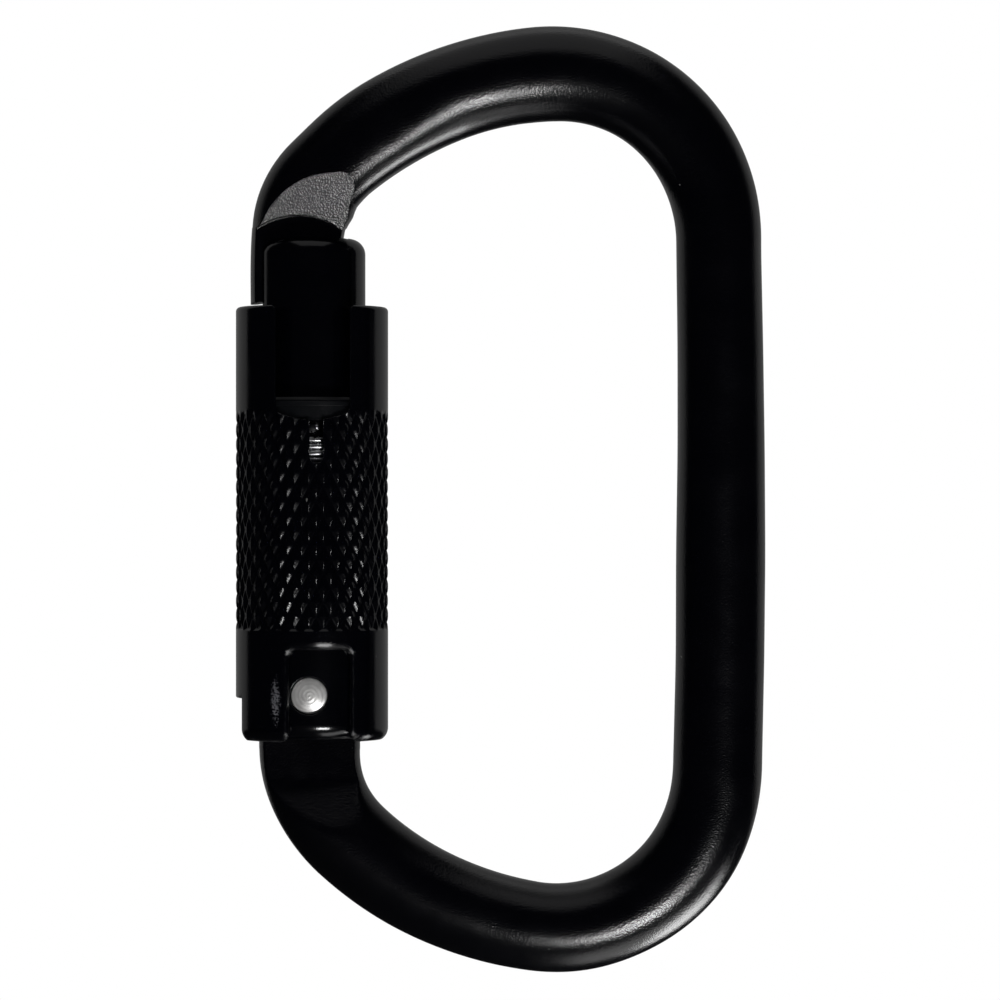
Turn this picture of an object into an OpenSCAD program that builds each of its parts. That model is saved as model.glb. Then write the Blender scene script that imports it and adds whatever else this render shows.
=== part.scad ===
// Auto-locking connector: forged steel bow and spine, hinged gate, knurled turning sleeve.
// Upright in the XZ plane. +Z runs up the spine, +X from the gate towards the spine.
// The origin is the inside of the top bow, where the sling or anchor bears.

/* [Bar] */
// Diameter of the forged bar
bar_d = 10.2; // [9:0.1:12]
// Widening of the bar over the top bow
bow_swell = 1.05; // [1:0.01:1.15]
// Distance from the hinge rivet to the middle of the spine
reach = 46.65; // [40:0.05:60]
// Straight length of the spine between its two corners
spine_len = 59.7; // [50:0.1:90]
// Height of the hinge rivet above the spine's lower corner
rivet_up = 8; // [5:0.1:15]

/* [Bows] */
// Radius of the top corner beside the spine
top_r1 = 19.2; // [15:0.1:25]
// Turn of the top corner in degrees
top_a1 = 95.5; // [90:0.5:110]
// Turn of the long slope of the top bow in degrees
top_a2 = 39.6; // [30:0.1:50]
// Radius of the bend beside the nose
top_r3 = 8.7; // [7:0.1:12]
// Radius of the bottom corner beside the spine
low_r1 = 18.9; // [15:0.1:25]
// Turn of the bottom corner in degrees
low_a1 = 98.5; // [90:0.5:110]
// Turn of the long slope of the bottom bow in degrees
low_a2 = 34.2; // [25:0.1:45]
// Radius of the bend beside the hinge
low_r3 = 14.3; // [11:0.1:17]

/* [Nose and hinge end] */
// Thickness of the flat tongues at both ends of the bar
tongue_t = 4.6; // [3:0.1:6]
// Sideways offset of the nose from the hinge rivet
nose_x = -1.3; // [-3:0.1:1]
// Width of the nose tongue
nose_w = 10.9; // [9:0.1:13]
// Width of the hinge tongue
hinge_w = 11.55; // [9:0.05:13]
// Length of the sloping shoulders beside the tongues
shoulder = 6; // [4:0.5:9]

/* [Gate] */
// Diameter of the gate barrel at its top
barrel_d = 12.2; // [10:0.1:15]
// Space between the gate's top end and the nose's shoulder
gate_gap = 1.25; // [0.8:0.05:3]
// Diameter of the hinge collar
collar_d = 15.9; // [14:0.1:18]
// Depth of the collar below the rivet
collar_down = 5; // [4:0.1:7]
// Height of the collar above the rivet
collar_up = 12; // [8:0.5:20]
// Opening angle of the gate in degrees
swing = 30; // [20:1:35]

/* [Rivet, latch and spring] */
// Diameter of the rivet's shank
rivet_d = 3; // [2:0.1:4]
// Diameter of the rivet's heads
rivet_head_d = 4.1; // [3:0.1:6]
// Diameter of the latch pin
latch_d = 2.4; // [1.5:0.1:3]
// Lift of the plunger per radian of gate swing
cam_b = 2.6; // [1.5:0.1:3]
// Height of the plunger's face above the rivet
cam_h = 3.6; // [3:0.1:4]
// Diameter of the plunger
plunger_d = 6.8; // [5:0.1:7.5]

/* [Sleeve] */
// Outside diameter of the sleeve
sleeve_d = 17.4; // [16:0.1:20]
// Wall thickness of the sleeve
sleeve_wall = 0.7; // [0.5:0.05:1.5]
// Length of barrel that shows above the sleeve
sleeve_show = 7.8; // [6.5:0.1:12]
// Depth of the sleeve's lower rim below the rivet
sleeve_down = 5.25; // [4:0.05:7]
// Number of knurl grooves each way
knurl_n = 32; // [20:1:48]
// Height of one knurl diamond
knurl_h = 3.25; // [2:0.05:5]
// Depth of the knurl
knurl_depth = 0.28; // [0.1:0.02:0.4]
// Free upward travel of the sleeve
lift = 5.5; // [3:0.5:6]

/* [Hidden] */
$fn = 64;
eps = 0.01;
gap = 0.3;
fit = 0.05;
br = bar_d / 2;
th = tongue_t / 2;
slot_h = th + gap;

// Height of the spine's two corners over the rivet.
low_z = -rivet_up;
top_z = low_z + spine_len;

// Each bow is three tangent arcs. The radius of its long slope spans whatever the reach leaves.
top_a12 = top_a1 + top_a2;
top_r2 = (nose_x - reach - top_r1 * (cos(top_a1) - 1) + top_r3 * (1 + cos(top_a12))) / (cos(top_a12) - cos(top_a1));
tc1 = [reach - top_r1, top_z];
tc2 = tc1 + (top_r1 - top_r2) * [cos(top_a1), sin(top_a1)];
tc3 = tc2 + (top_r2 - top_r3) * [cos(top_a12), sin(top_a12)];
hinge_x = -0.27;
low_a12 = low_a1 + low_a2;
low_r2 = (hinge_x - reach - low_r1 * (cos(low_a1) - 1) + low_r3 * (1 + cos(low_a12))) / (cos(low_a12) - cos(low_a1));
lc1 = [reach - low_r1, low_z];
lc2 = lc1 + (low_r1 - low_r2) * [cos(low_a1), -sin(low_a1)];
lc3 = lc2 + (low_r2 - low_r3) * [cos(low_a12), -sin(low_a12)];
nose_z = tc3.y;
hinge_z = lc3.y;

// The origin: inside of the top bow at its highest point.
origin = [tc1.x, 0, top_z + top_r1 - br * bow_swell];

// The gate reaches up to the nose, and the sleeve stops short of the gate's top by its travel.
gate_top = nose_z - gate_gap;
sleeve_top = gate_top - sleeve_show;

// Nose tongue and latch, measured up from the rivet.
sleeve_r = sleeve_d / 2;
bore_r = sleeve_r - sleeve_wall;
nose_l = nose_x - nose_w / 2 - 0.3;
nose_r = nose_x + nose_w / 2 - 0.25;
rim_reach = sqrt(pow(sleeve_top, 2) + pow(sleeve_r - 0.5, 2));
nose_end = rim_reach + 0.2;
latch_z = nose_end + 3.45;
latch_x = -0.5;
latch_cut = latch_d / 2 + gap;
pin_reach = norm([latch_x, latch_z]);
barrel_r = barrel_d / 2;
collar_r = collar_d / 2;
shoulder_r = barrel_r + 0.4;
shoulder_z = sleeve_top - 13.3;
slot_floor = nose_end - 1.1;
ring_z = shoulder_z + gap;
ring_h = 2.6;
fork_top = 5.2;
spring_top = min(26, slot_floor - 6);
plunger_z = cam_h + 0.02;

// Points of an arc in a profile, from angle a to angle b.
function arc_pts(c, r, a, b, n = 8) = [for (i = [0 : n]) c + r * [cos(a + (b - a) * i / n), sin(a + (b - a) * i / n)]];

// A station on a bow: where it is, which way is outwards, and half the bar's width there.
function station(c, r, a, w) = [c + r * [cos(a), sin(a)], [cos(a), sin(a)], w];

// Everything is laid out from the rivet and then moved to the origin.
module placed() { translate(-origin) children(); }
// Turns a flat shape so that it stands in the XZ plane, t thick about Y = 0.
module plate(t) { rotate([90, 0, 0]) translate([0, 0, -t / 2]) linear_extrude(t) children(); }
// A round bar across the gate, along Y.
module cross(x, z, r, y0, y1) { translate([x, y1, z]) rotate([90, 0, 0]) cylinder(r = r, h = y1 - y0); }
// A round wire along a path whose tangent stays near level: one closed skin.
module wire(path, r, sides = 6) {
  n = len(path);
  tan_at = function(i) let (a = path[max(i - 1, 0)], b = path[min(i + 1, n - 1)]) (b - a) / norm(b - a);
  rings = [for (i = [0 : n - 1]) let (t = tan_at(i), u0 = cross(t, [0, 0, 1]), u = u0 / norm(u0), v = cross(u, t))
    for (k = [0 : sides - 1]) path[i] + r * (cos(360 * k / sides) * u + sin(360 * k / sides) * v)];
  quads = [for (i = [0 : n - 2]) for (k = [0 : sides - 1])
    let (a = i * sides + k, b = i * sides + (k + 1) % sides)
    each [[a, b, b + sides], [a, b + sides, a + sides]]];
  first = [for (k = [sides - 1 : -1 : 0]) k];
  last = [for (k = [0 : sides - 1]) (n - 1) * sides + k];
  polyhedron(points = rings, faces = concat(quads, [first, last]), convexity = 10);
}

// Forged bar: spine, both bows, the flattened nose tongue and the flattened hinge tongue.
module body() color("#1c1c1e") placed() {
  // The plunger rides on this edge. Its height grows evenly with the gate's swing.
  cam = [for (i = [0 : 15]) let (a = (swing + 2) * i / 15, h = cam_h + cam_b * a * PI / 180)
    [h * sin(a) + cam_b * cos(a), h * cos(a) - cam_b * sin(a)]];
  hr = hinge_x + hinge_w / 2;
  hl = hinge_x - hinge_w / 2;
  hinge_plate = concat(
    [[hl, -8], [hl, 0.5]],
    arc_pts([hl + 3.1, 0.5], 3.1, 180, 90, 6),
    cam,
    [[hr, 1.6], [hr, hinge_z], [hr + 0.15, hinge_z - 2.2], [hr + 3, hinge_z - 8], [hl + 5, hinge_z - 10.5], [hl + 3, hinge_z - 9.8], [hl + 1.8, hinge_z - 7.7], [hl + 0.7, hinge_z - 5.4], [hl + 0.15, hinge_z - 3.4]]);
  nose_plate = concat(
    [[nose_l + 2.7, nose_z + 7.5], [nose_l + 1.7, nose_z + 5.6], [nose_l + 0.8, nose_z + 3], [nose_l + 0.2, nose_z + 0.2], [nose_l, nose_z - 1.2], [nose_l, nose_z - 2.6], [nose_l + 0.3, nose_end + 2.4]],
    arc_pts([nose_l + 1.45, nose_end + 1], 1, 180, 270, 4),
    arc_pts([nose_r - 1, nose_end + 1], 1, 270, 360, 4),
    [[nose_r, nose_z], [nose_r + 1, nose_z + 3]]);
  // Stations along the bar from the nose to the hinge: a point, the outward normal and the half width.
  stations = concat(
    [[[nose_x, nose_z - 2], [-1, 0], br - 0.1], [[nose_x, nose_z - 0.8], [-1, 0], br]],
    [for (i = [0 : 10]) station(tc3, top_r3, 180 + (top_a12 - 180) * i / 10, br * bow_swell)],
    [for (i = [1 : 7]) station(tc2, top_r2, top_a12 - top_a2 * i / 7, br * bow_swell)],
    [for (i = [1 : 15]) station(tc1, top_r1, top_a1 * (1 - i / 15), br * (1 + (bow_swell - 1) * min(1, (15 - i) / 11)))],
    [for (i = [0 : 14]) station(lc1, low_r1, -low_a1 * i / 14, br * (1 + 0.02 * min(1, i / 10)))],
    [for (i = [1 : 6]) station(lc2, low_r2, -low_a1 - low_a2 * i / 6, br * 1.02)],
    [for (i = [1 : 12]) station(lc3, low_r3, -low_a12 + (low_a12 - 180) * i / 12, br * (1.02 + 0.04 * i / 12))],
    [[[hinge_x, hinge_z + 1.5], [-1, 0], br * 1.03]]);
  // The forging dies flatten both ends. The shoulders slope down to the tongues.
  flat = th - 0.02;
  limit = function(x, z) x > 16 ? br : z > 0 ? flat + max(0, z - nose_z - 0.9) / 2 : flat + max(0, hinge_z - 3.45 - z) / 2;
  sides = 24;
  n = len(stations);
  skin = [for (s = stations) for (k = [0 : sides - 1])
    let (a = 360 * (k + 0.5) / sides, q = s[0] + s[2] * cos(a) * s[1], f = limit(s[0].x, q.y), y = (s[2] > br ? br + (s[2] - br) * 0.5 : s[2]) * sin(a))
    [q.x, max(-f, min(f, y)), q.y]];
  quads = [for (i = [0 : n - 2]) for (k = [0 : sides - 1])
    let (a = i * sides + k, b = i * sides + (k + 1) % sides)
    each [[a, b, b + sides], [a, b + sides, a + sides]]];
  difference() {
    union() {
      polyhedron(points = skin, faces = concat(quads, [[for (k = [sides - 1 : -1 : 0]) k], [for (k = [0 : sides - 1]) (n - 1) * sides + k]]), convexity = 8);
      plate(tongue_t) polygon(hinge_plate);
      plate(tongue_t) polygon(nose_plate);
    }
    // Bore for the rivet.
    cross(0, 0, rivet_d / 2 + fit, -th - 1, th + 1);
    // Hook notch for the latch pin, open towards the spine so that the pin can swing out.
    plate(tongue_t + 2) polygon(concat(
      arc_pts([latch_x, latch_z], latch_cut, 90, 270, 12),
      arc_pts([0, 0], pin_reach - latch_cut, 90, 70, 12),
      arc_pts([0, 0], pin_reach + latch_cut, 70, 90, 12)));
  }
}

// Gate: barrel with a slot for the nose, shoulder for the ring, hinge collar with a fork.
module gate_barrel() color("#1a1a1c") placed() {
  profile = concat(
    [[0, -collar_down]],
    arc_pts([collar_r - 1, -collar_down + 1], 1, 270, 360, 6),
    [[collar_r, collar_up - 0.5], [collar_r - 0.5, collar_up], [shoulder_r, collar_up], [shoulder_r, shoulder_z], [barrel_r, shoulder_z]],
    arc_pts([barrel_r - 1.1, gate_top - 1.1], 1.1, 0, 90, 6),
    [[0, gate_top]]);
  difference() {
    rotate_extrude() polygon(profile);
    // Fork for the hinge tongue, and the bore above it for the plunger and its spring.
    translate([-12, -slot_h, -collar_down - 2]) cube([24, 2 * slot_h, collar_down + 2 + fork_top]);
    translate([0, 0, cam_h - gap]) cylinder(d = plunger_d + 2 * fit, h = spring_top - cam_h + gap);
    // Slot for the nose tongue, open on the outer side.
    translate([-12, -slot_h, slot_floor]) cube([12 + nose_r + gap, 2 * slot_h, 20]);
    // Rivet hole with a seat for each head.
    cross(0, 0, rivet_d / 2 + 0.02, -12, 12);
    cross(0, 0, rivet_head_d / 2 + 0.1, -12, -collar_r + 0.95);
    cross(0, 0, rivet_head_d / 2 + 0.1, collar_r - 0.95, 12);
    // Blind hole for the latch pin, drilled from the back.
    cross(latch_x, latch_z, latch_d / 2 + 0.02, -barrel_r + 1.05, 12);
    // Keyway for the guide ring.
    translate([-0.7, barrel_r - 0.6, shoulder_z - eps]) cube([1.4, 2, ring_h + lift + 1]);
  }
}

// Hinge rivet with two low domed heads, riding in the fork.
module hinge_rivet() color("#c9cacc") placed() {
  hr = rivet_head_d / 2;
  seat = collar_r - 0.9;
  edge = seat + 0.25;
  dome = 0.45;
  big = (hr * hr + dome * dome) / (2 * dome);
  half = asin(hr / big);
  head = concat([[0, seat], [hr, seat]], [for (i = [0 : 8]) [big * sin(half * (1 - i / 8)), edge + dome - big + big * cos(half * (1 - i / 8))]]);
  union() {
    cross(0, 0, rivet_d / 2, -seat - 0.1, seat + 0.1);
    for (s = [-90, 90]) rotate([s, 0, 0]) rotate_extrude() polygon(head);
  }
}

// Hardened pin across the gate's slot. The nose hooks behind it under load.
module latch_pin() color("#8f9194") placed() cross(latch_x, latch_z, latch_d / 2, -barrel_r + 1.1, barrel_r - 0.12);

// Plunger that the gate spring presses onto the hinge tongue.
module spring_plunger() color("#b9bcc0") placed() translate([0, 0, plunger_z]) {
  cylinder(d = plunger_d, h = 4.6);
  translate([0, 0, 4.6]) cylinder(d = 3.4, h = 2.2);
}

// Compression spring that closes the gate.
module gate_spring() color("#a9acb0") placed() {
  z0 = plunger_z + 4.6 + 0.45;
  z1 = spring_top - 0.45;
  turns = 9;
  path = [for (i = [0 : turns * 20]) let (f = i / (turns * 20), a = 18 * i,
    z = f < 0.1 ? z0 + f * 7 : f > 0.9 ? z1 - (1 - f) * 7 : z0 + 0.7 + (f - 0.1) / 0.8 * (z1 - z0 - 1.4)) [2.45 * cos(a), 2.45 * sin(a), z]];
  wire(path, 0.4);
}

// Split bush that guides the sleeve on the barrel. A key stops it turning, a lip holds it in the sleeve.
module guide_ring() color("#2a2b2e") placed() {
  difference() {
    union() {
      difference() {
        rotate_extrude() polygon([[barrel_r + fit, ring_z], [bore_r - 0.35, ring_z], [bore_r - fit, ring_z + 0.3], [bore_r - fit, ring_z + 1.6], [bore_r + 0.18, ring_z + 1.6], [bore_r + 0.18, ring_z + 2.1], [bore_r - fit, ring_z + 2.1], [bore_r - fit, ring_z + ring_h - 0.3], [bore_r - 0.35, ring_z + ring_h], [barrel_r + fit, ring_z + ring_h]]);
      }
      translate([-0.6, barrel_r - 0.5, ring_z]) cube([1.2, 1, ring_h]);
    }
    rotate([0, 0, 30]) translate([barrel_r - 2, -0.5, ring_z - 1]) cube([6, 1, ring_h + 2]);
  }
}

// Turning sleeve with a diamond knurl, a nose slot at the top and a relieved lower rim.
module locking_sleeve() color("#202022") placed() {
  k0 = 7.3;
  rows = round(2 * (sleeve_top - 11.8 - k0) / knurl_h);
  step = knurl_h / 2;
  m = 2 * knurl_n;
  k1 = k0 + rows * step;
  pr = sleeve_r - 0.03;
  vr = sleeve_r - knurl_depth;
  // Rows of peaks and valleys. The first and last rows lie inside the smooth ends.
  row_z = concat([k0 - 0.6], [for (j = [0 : rows]) k0 + j * step], [k1 + 0.6]);
  pts = [for (j = [0 : rows + 2]) for (i = [0 : m - 1]) let (r = j == 0 || j == rows + 2 ? vr - 0.1 : (i + j) % 2 == 0 ? pr : vr, a = 360 * (i + 0.37) / m)
    [r * cos(a), r * sin(a), row_z[j]]];
  skin = [for (j = [0 : rows + 1]) for (i = [0 : m - 1])
    let (a = j * m + i, b = j * m + (i + 1) % m, c = b + m, d = a + m)
    each ((i + j) % 2 == 0 ? [[a, d, b], [b, d, c]] : [[a, c, b], [a, d, c]])];
  lower = concat(
    [[0, -sleeve_down]],
    arc_pts([sleeve_r - 0.85, -sleeve_down + 0.85], 0.85, 270, 360, 6),
    [[sleeve_r, k0 + 0.2], [0, k0 + 0.2]]);
  upper = concat(
    [[0, k1 - 0.2], [sleeve_r, k1 - 0.2]],
    arc_pts([sleeve_r - 0.5, sleeve_top - 0.5], 0.5, 0, 90, 4),
    [[0, sleeve_top]]);
  slot_l = -3.78;
  slot_r = 4.56;
  win_l = -2.24;
  win_r = 4.56;
  difference() {
    union() {
      rotate_extrude() polygon(lower);
      rotate_extrude() polygon(upper);
      polyhedron(points = pts, faces = concat(skin, [[for (i = [0 : m - 1]) i], [for (i = [m - 1 : -1 : 0]) (rows + 2) * m + i]]), convexity = 4);
    }
    translate([0, 0, -sleeve_down - 1]) cylinder(r = bore_r, h = sleeve_top + sleeve_down + 2);
    // Groove that holds the guide ring's lip.
    translate([0, 0, ring_z + 1.55]) cylinder(r = bore_r + 0.25, h = 0.6);
    // Slot that lets the nose out once the sleeve has been turned.
    intersection() {
      translate([slot_l, -12, sleeve_top - 14]) cube([slot_r - slot_l, 12, 20]);
      union() {
        cross((slot_l + slot_r) / 2, sleeve_top - 3.8, 9.2, -12, 0);
        translate([-6, -12, sleeve_top - 4]) cube([12, 12, 10]);
      }
    }
    // Slit that anchors the sleeve spring's leg.
    translate([-0.35, -12, sleeve_top - 18.1]) cube([1.82, 12, 5.3]);
    cross(0.56, sleeve_top - 18.1, 0.91, -12, 0);
    // Window in front of the rivet, open at the lower rim.
    translate([win_l, -12, -8]) cube([win_r - win_l, 12, 12.3]);
    translate([win_l + 0.9, -12, 0]) cube([win_r - win_l - 1.8, 12, 5.2]);
    cross(win_l + 0.9, 4.3, 0.9, -12, 0);
    cross(win_r - 0.9, 4.3, 0.9, -12, 0);
    // Relief of the lower rim. It faces the hinge tongue once the sleeve has been turned.
    rotate([0, 0, 38]) rotate_extrude(angle = 168) translate([6, -8]) square([4, 7.55]);
  }
}

// Close-wound spring that turns the sleeve back and pulls it down again.
module sleeve_spring() color("#b4b7ba") placed() {
  pitch = 0.76;
  mr = (shoulder_r + bore_r) / 2 - 0.05;
  end = 276;
  z1 = shoulder_z - 0.5;
  turns = floor((z1 - collar_up - 0.7) / pitch);
  coil = [for (i = [0 : turns * 16]) let (a = end - 20 - 22.5 * (turns * 16 - i)) [mr * cos(a), mr * sin(a), z1 - pitch * (turns * 16 - i) / 16]];
  leg = [for (q = [0.45, 0.9, 1.35]) let (a = end - 20 + 20 * min(1, q)) [(mr + 0.28 * q * q) * cos(a), (mr + 0.28 * q * q) * sin(a), z1]];
  tip = (mr + 1.35) * [cos(end), sin(end)];
  wire(concat(coil, [leg[0], leg[1], [(mr + 0.8) * cos(end), (mr + 0.8) * sin(end), z1], [tip.x, tip.y, z1]]), 0.34);
}

body();
gate_barrel();
hinge_rivet();
latch_pin();
spring_plunger();
gate_spring();
guide_ring();
locking_sleeve();
sleeve_spring();
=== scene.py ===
import math

import bmesh
import bpy
import numpy as np
from mathutils import Matrix, Vector


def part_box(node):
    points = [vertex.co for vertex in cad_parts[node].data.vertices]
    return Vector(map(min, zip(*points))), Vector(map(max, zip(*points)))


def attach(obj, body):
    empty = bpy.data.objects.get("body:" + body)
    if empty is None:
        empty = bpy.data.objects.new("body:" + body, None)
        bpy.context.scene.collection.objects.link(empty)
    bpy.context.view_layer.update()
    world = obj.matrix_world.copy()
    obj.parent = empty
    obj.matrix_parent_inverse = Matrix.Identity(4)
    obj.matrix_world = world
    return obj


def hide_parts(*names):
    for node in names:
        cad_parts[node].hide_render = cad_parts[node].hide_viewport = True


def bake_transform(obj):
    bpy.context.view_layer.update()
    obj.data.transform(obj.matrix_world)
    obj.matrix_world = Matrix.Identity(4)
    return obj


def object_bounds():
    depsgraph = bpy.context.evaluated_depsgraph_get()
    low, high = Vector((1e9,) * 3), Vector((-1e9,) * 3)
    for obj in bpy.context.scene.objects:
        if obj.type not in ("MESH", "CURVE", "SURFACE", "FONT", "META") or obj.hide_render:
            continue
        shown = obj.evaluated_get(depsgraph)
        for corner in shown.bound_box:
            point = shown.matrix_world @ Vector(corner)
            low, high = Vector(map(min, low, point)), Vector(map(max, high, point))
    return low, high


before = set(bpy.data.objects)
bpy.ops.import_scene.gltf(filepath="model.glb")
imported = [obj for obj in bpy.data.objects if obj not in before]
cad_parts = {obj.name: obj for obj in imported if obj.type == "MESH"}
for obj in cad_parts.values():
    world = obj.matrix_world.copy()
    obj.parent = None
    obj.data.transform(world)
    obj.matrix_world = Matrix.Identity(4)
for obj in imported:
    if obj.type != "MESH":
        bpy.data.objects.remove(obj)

cad_low, cad_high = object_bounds()

# Camera. It stands level with the middle of the connector and looks straight at its front face
# from half a metre away.
CAMERA_AWAY = 0.5
SENSOR = 36.0
FRAME_MARGIN = 1.0567
middle = (cad_low + cad_high) / 2
framed = (cad_high.z - cad_low.z) * FRAME_MARGIN
camera_data = bpy.data.cameras.new("camera")
camera_data.sensor_width = SENSOR
camera_data.lens = SENSOR * CAMERA_AWAY / framed
camera_data.clip_start = 0.01
camera_data.clip_end = 50
camera = bpy.data.objects.new("camera", camera_data)
camera.location = middle + Vector((0, -CAMERA_AWAY, 0))
camera.rotation_euler = (math.radians(90), 0, 0)
bpy.context.scene.collection.objects.link(camera)
bpy.context.scene.camera = camera


# Forged bar. One length of 10 mm bar, bent to a closed bow, drop forged flat at both ends and
# covered with a baked black powder coat. The nose end is a hooked tongue with a milled
# shoulder, and the hinge end is a tongue that the rivet passes through.
rivet_low, rivet_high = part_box("hinge_rivet")
RIVET = (rivet_low + rivet_high) / 2
MM = 0.001

BAR_DEPTH = 5.1
TONGUE = 2.3
SPINE_X = 46.65
SPINE_TOP = 51.7
SPINE_LOW = -8.0
NOSE_X = -1.3
HINGE_X = -0.27
# Radius and turn of the bend beside the spine and of the long slope that follows it. The last
# bend, at the gate's end, closes the bow and is worked out from these.
TOP_BENDS = [(19.2, 95.5), (39.8, 39.6)]
LOW_BENDS = [(18.9, 98.5), (38.9, 34.2)]


def box_mm(node):
    """A CAD node's lowest and highest corner in millimetres, measured from the rivet."""
    low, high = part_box(node)
    return (low - RIVET) / MM, (high - RIVET) / MM


def bend(centre, radius, start, end, step=0.5):
    """Points on an arc and the directions that lead outwards there, in the plane of the bow."""
    count = max(3, int(abs(end - start) * math.pi / 180 * radius / step))
    angles = np.radians(np.linspace(start, end, count))
    out = np.stack([np.cos(angles), np.sin(angles)], 1)
    return np.array(centre) + radius * out, out


def straight(x, start, end, outwards, step=0.5):
    """Points on an upright stretch of bar, and the direction that leads outwards."""
    count = max(3, int(abs(end - start) / step))
    points = np.stack([np.full(count, float(x)), np.linspace(start, end, count)], 1)
    return points, np.tile([float(outwards), 0.0], (count, 1))


def bow(end_x, spine_z, bends, up):
    """Three tangent bends from the spine round to a tongue, as centres, radii and angles."""
    (r1, a1), (r2, a2) = bends
    turn = [math.radians(a1), math.radians(a1 + a2)]
    r3 = end_x - SPINE_X - r1 * (math.cos(turn[0]) - 1)
    r3 = (r3 - r2 * (math.cos(turn[1]) - math.cos(turn[0]))) / (-1 - math.cos(turn[1]))
    c1 = np.array([SPINE_X - r1, spine_z])
    c2 = c1 + (r1 - r2) * np.array([math.cos(turn[0]), up * math.sin(turn[0])])
    c3 = c2 + (r2 - r3) * np.array([math.cos(turn[1]), up * math.sin(turn[1])])
    return [(c1, r1, 0, up * a1), (c2, r2, up * a1, up * (a1 + a2)), (c3, r3, up * (a1 + a2), up * 180)]


def backwards(arc_of_bow):
    """The same bend, followed from its far end."""
    centre, radius, start, end = arc_of_bow
    return centre, radius, end, start


top_bow = bow(NOSE_X, SPINE_TOP, TOP_BENDS, 1)
low_bow = bow(HINGE_X, SPINE_LOW, LOW_BENDS, -1)
NOSE_Z = top_bow[2][0][1]
HINGE_Z = low_bow[2][0][1]
gate_low, gate_high = box_mm("gate_barrel")
sleeve_low, sleeve_high = box_mm("locking_sleeve")
RIM_ROUND = 0.5
RIM_GAP = 0.2
RIM_SWEEP = math.hypot(sleeve_high.z, sleeve_high.x - RIM_ROUND) + RIM_GAP
NOSE_LOW = sleeve_high.z + 0.1
CAM_TOP = 3.6

# The bar's stretches from nose to hinge. Each has its line, and its half widths on the
# outside and on the inside of the bow at even places along it.
STRETCHES = [
    (straight(NOSE_X, NOSE_LOW, NOSE_Z, -1), [5.7, 5.75, 5.75, 5.6], [4.6, 4.6, 4.55, 5.0]),
    (bend(*backwards(top_bow[2])), [5.55, 5.3, 5.22, 5.05], [5.2, 5.85, 5.8, 5.45]),
    (bend(*backwards(top_bow[1])), [5.03, 5.4, 5.33, 5.3, 5.35], [5.15, 5.35, 5.45, 5.4, 5.5]),
    (bend(*backwards(top_bow[0])), [5.35, 5.34, 5.3, 5.15, 4.9, 4.7], [5.62, 5.3, 5.05, 5.03, 5.06, 5.0]),
    (
        straight(SPINE_X, SPINE_TOP, SPINE_LOW, 1),
        [4.7, 4.95, 5.13, 5.2, 5.08, 4.83],
        [5.0, 4.85, 4.84, 5.02, 5.05, 5.35],
    ),
    (bend(*low_bow[0]), [4.8, 4.87, 5.13, 5.1, 4.97, 5.05, 4.95], [5.4, 5.3, 5.15, 5.1, 5.1, 5.15]),
    (bend(*low_bow[1]), [4.98, 5.05, 5.18, 5.2], [5.2, 5.3, 5.3, 5.35]),
    (bend(*low_bow[2]), [5.2, 5.25, 5.6, 5.82], [5.4, 5.45, 5.6, 5.8]),
    (straight(HINGE_X, HINGE_Z, CAM_TOP, -1, 0.25), [5.78, 5.775], [5.8, 5.775]),
]


def spaced(values, count):
    """Even places along a stretch, filled in between the given half widths."""
    return np.interp(np.linspace(0, 1, count), np.linspace(0, 1, len(values)), values)


def softened(values, reach):
    """A running mean that keeps its ends."""
    padded = np.concatenate([np.full(reach, values[0]), values, np.full(reach, values[-1])])
    return np.convolve(padded, np.full(2 * reach + 1, 1 / (2 * reach + 1)), "valid")


def soft_min(a, b, blend):
    """The lower of two surfaces, with a fillet of about the blend where they meet."""
    share = np.clip(0.5 + 0.5 * (b - a) / blend, 0, 1)
    return b * (1 - share) + a * share - blend * share * (1 - share)


def new_mesh(name, points, faces):
    """A mesh object in millimetres from the rivet. seat() takes it to its place later."""
    mesh = bpy.data.meshes.new(name)
    mesh.from_pydata(np.asarray(points, float).tolist(), [], faces)
    skin = bmesh.new()
    skin.from_mesh(mesh)
    bmesh.ops.remove_doubles(skin, verts=skin.verts, dist=1e-4)
    bmesh.ops.recalc_face_normals(skin, faces=skin.faces)
    skin.to_mesh(mesh)
    skin.free()
    piece = bpy.data.objects.new(name, mesh)
    bpy.context.scene.collection.objects.link(piece)
    return piece


def tube(name, rings):
    """A closed skin over rings of equal count, with both ends capped."""
    count, sides = len(rings), len(rings[0])
    faces = [
        (i * sides + k, i * sides + (k + 1) % sides, (i + 1) * sides + (k + 1) % sides, (i + 1) * sides + k)
        for i in range(count - 1)
        for k in range(sides)
    ]
    ends = [tuple(range(sides)), tuple(range((count - 1) * sides, count * sides))]
    return new_mesh(name, np.concatenate(rings), faces + ends)


def combine(piece, operation, others):
    """Cuts the others out of a piece, or joins them to it, one after the other."""
    for other in others:
        step = piece.modifiers.new("step", "BOOLEAN")
        step.operation = operation
        step.solver = "EXACT"
        step.object = other
        bpy.context.view_layer.update()
        shaped = piece.evaluated_get(bpy.context.evaluated_depsgraph_get())
        result = bpy.data.meshes.new_from_object(shaped)
        piece.modifiers.clear()
        piece.data = result
        bpy.data.objects.remove(other)


def cut(piece, *cutters):
    """Takes the cutters out of a piece."""
    combine(piece, "DIFFERENCE", cutters)


def seat(piece, material, sharp=30):
    """Takes a piece from millimetres to its place in the frame, and gives it its finish."""
    piece.data.transform(Matrix.Translation(RIVET) @ Matrix.Scale(MM, 4))
    piece.data.materials.clear()
    piece.data.materials.append(material)
    piece.data.shade_smooth()
    piece.data.set_sharp_from_angle(angle=math.radians(sharp))


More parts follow.
